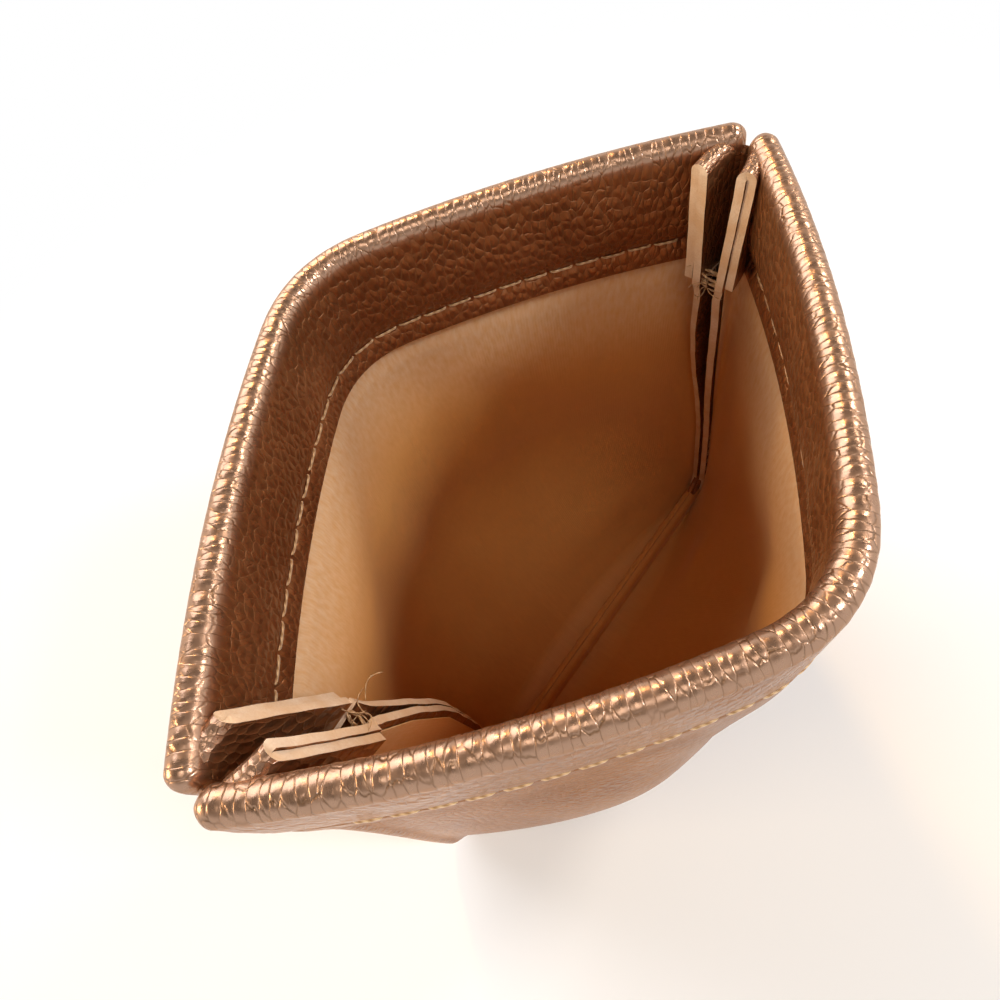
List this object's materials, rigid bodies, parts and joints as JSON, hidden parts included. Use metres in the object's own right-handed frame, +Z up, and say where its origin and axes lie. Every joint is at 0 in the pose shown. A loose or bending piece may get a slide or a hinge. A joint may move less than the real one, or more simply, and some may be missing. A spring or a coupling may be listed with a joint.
{
  "type": "coin purse",
  "caption": "Squeeze-open coin purse of metallic pebbled leather with a lined pouch and two curved spring strips in its hemmed mouth, pinched open.",
  "frame": {"origin": "middle of the bottom seam", "axes": "+Z up the pouch to its mouth, +X along the mouth from one pinched corner to the other, +Y towards the back panel"},
  "size_m": [0.079, 0.0576, 0.085],
  "materials": {
    "pebbled_leather": "rose-bronze metallic pebbled leather",
    "leather_cut_edge": "folded leather with pale cut edges",
    "satin_lining": "beige satin",
    "spring_steel": "bare spring steel",
    "cloth_tape": "cotton tape",
    "sewing_thread": "golden polyester thread"
  },
  "bodies": {
    "pouch": {"back_panel": "pebbled_leather", "front_panel": "pebbled_leather", "back_lining": "satin_lining", "front_lining": "satin_lining", "bottom_seam_thread": "sewing_thread", "left_seam_thread": "sewing_thread", "right_seam_thread": "sewing_thread"},
    "back_left_rim": {"back_left_hem": "pebbled_leather", "back_left_spring": "spring_steel", "back_left_spring_tape": "cloth_tape", "back_left_stitches": "sewing_thread"},
    "back_left_bend": {"back_left_bend_hem": "pebbled_leather", "back_left_bend_spring": "spring_steel", "back_left_bend_stitches": "sewing_thread"},
    "back_right_rim": {"back_right_hem": "pebbled_leather", "back_right_spring": "spring_steel", "back_right_spring_tape": "cloth_tape", "back_right_stitches": "sewing_thread"},
    "back_right_bend": {"back_right_bend_hem": "pebbled_leather", "back_right_bend_spring": "spring_steel", "back_right_bend_stitches": "sewing_thread"},
    "front_left_rim": {"front_left_hem": "pebbled_leather", "front_left_spring": "spring_steel", "front_left_spring_tape": "cloth_tape", "front_left_stitches": "sewing_thread"},
    "front_left_bend": {"front_left_bend_hem": "pebbled_leather", "front_left_bend_spring": "spring_steel", "front_left_bend_stitches": "sewing_thread"},
    "front_right_rim": {"front_right_hem": "pebbled_leather", "front_right_spring": "spring_steel", "front_right_spring_tape": "cloth_tape", "front_right_stitches": "sewing_thread"},
    "front_right_bend": {"front_right_bend_hem": "pebbled_leather", "front_right_bend_spring": "spring_steel", "front_right_bend_stitches": "sewing_thread"},
    "left_corner": {"back_left_hem_end": "leather_cut_edge", "front_left_hem_end": "leather_cut_edge", "left_bartack": "sewing_thread"},
    "right_corner": {"back_right_hem_end": "leather_cut_edge", "front_right_hem_end": "leather_cut_edge", "right_bartack": "sewing_thread"}
  },
  "joints": [
    {"name": "back_left_rim_swing", "type": "hinge", "parent": "pouch", "child": "back_left_rim", "pos_m": [-0.03822, 0.01458, 0.07675], "axis": [0, 0, -1], "range_deg": [0, 39]},
    {"name": "back_left_bend_flex", "type": "hinge", "parent": "back_left_rim", "child": "back_left_bend", "pos_m": [-0.0046, 0.02649, 0.07675], "axis": [0, 0, 1], "range_deg": [0, 39], "deforming": ["back_left_bend_hem", "back_left_bend_spring", "back_left_bend_stitches"]},
    {"name": "back_right_rim_swing", "type": "hinge", "parent": "pouch", "child": "back_right_rim", "pos_m": [0.03822, 0.01458, 0.07675], "axis": [0, 0, 1], "range_deg": [0, 39]},
    {"name": "back_right_bend_flex", "type": "hinge", "parent": "back_right_rim", "child": "back_right_bend", "pos_m": [0.0046, 0.02649, 0.07675], "axis": [0, 0, -1], "range_deg": [0, 39], "deforming": ["back_right_bend_hem", "back_right_bend_spring", "back_right_bend_stitches"]},
    {"name": "front_left_rim_swing", "type": "hinge", "parent": "pouch", "child": "front_left_rim", "pos_m": [-0.03822, -0.01458, 0.07675], "axis": [0, 0, 1], "range_deg": [0, 39]},
    {"name": "front_left_bend_flex", "type": "hinge", "parent": "front_left_rim", "child": "front_left_bend", "pos_m": [-0.0046, -0.02649, 0.07675], "axis": [0, 0, -1], "range_deg": [0, 39], "deforming": ["front_left_bend_hem", "front_left_bend_spring", "front_left_bend_stitches"]},
    {"name": "front_right_rim_swing", "type": "hinge", "parent": "pouch", "child": "front_right_rim", "pos_m": [0.03822, -0.01458, 0.07675], "axis": [0, 0, -1], "range_deg": [0, 39]},
    {"name": "front_right_bend_flex", "type": "hinge", "parent": "front_right_rim", "child": "front_right_bend", "pos_m": [0.0046, -0.02649, 0.07675], "axis": [0, 0, 1], "range_deg": [0, 39], "deforming": ["front_right_bend_hem", "front_right_bend_spring", "front_right_bend_stitches"]},
    {"name": "left_corner_slide", "type": "slide", "parent": "pouch", "child": "left_corner", "axis": [-1, 0, 0], "range_m": [0, 0.00857], "deforming": ["back_left_hem_end", "front_left_hem_end"]},
    {"name": "right_corner_slide", "type": "slide", "parent": "pouch", "child": "right_corner", "axis": [1, 0, 0], "range_m": [0, 0.00857], "deforming": ["back_right_hem_end", "front_right_hem_end"]}
  ],
  "couplings": [
    {"joint": "back_left_bend_flex", "follows": "back_left_rim_swing", "ratio": 1},
    {"joint": "back_right_rim_swing", "follows": "back_left_rim_swing", "ratio": 1},
    {"joint": "back_right_bend_flex", "follows": "back_left_rim_swing", "ratio": 1},
    {"joint": "front_left_rim_swing", "follows": "back_left_rim_swing", "ratio": 1},
    {"joint": "front_left_bend_flex", "follows": "back_left_rim_swing", "ratio": 1},
    {"joint": "front_right_rim_swing", "follows": "back_left_rim_swing", "ratio": 1},
    {"joint": "front_right_bend_flex", "follows": "back_left_rim_swing", "ratio": 1},
    {"joint": "left_corner_slide", "follows": "back_left_rim_swing", "m_per_rad": 0.012595},
    {"joint": "right_corner_slide", "follows": "back_left_rim_swing", "m_per_rad": 0.012595}
  ]
}
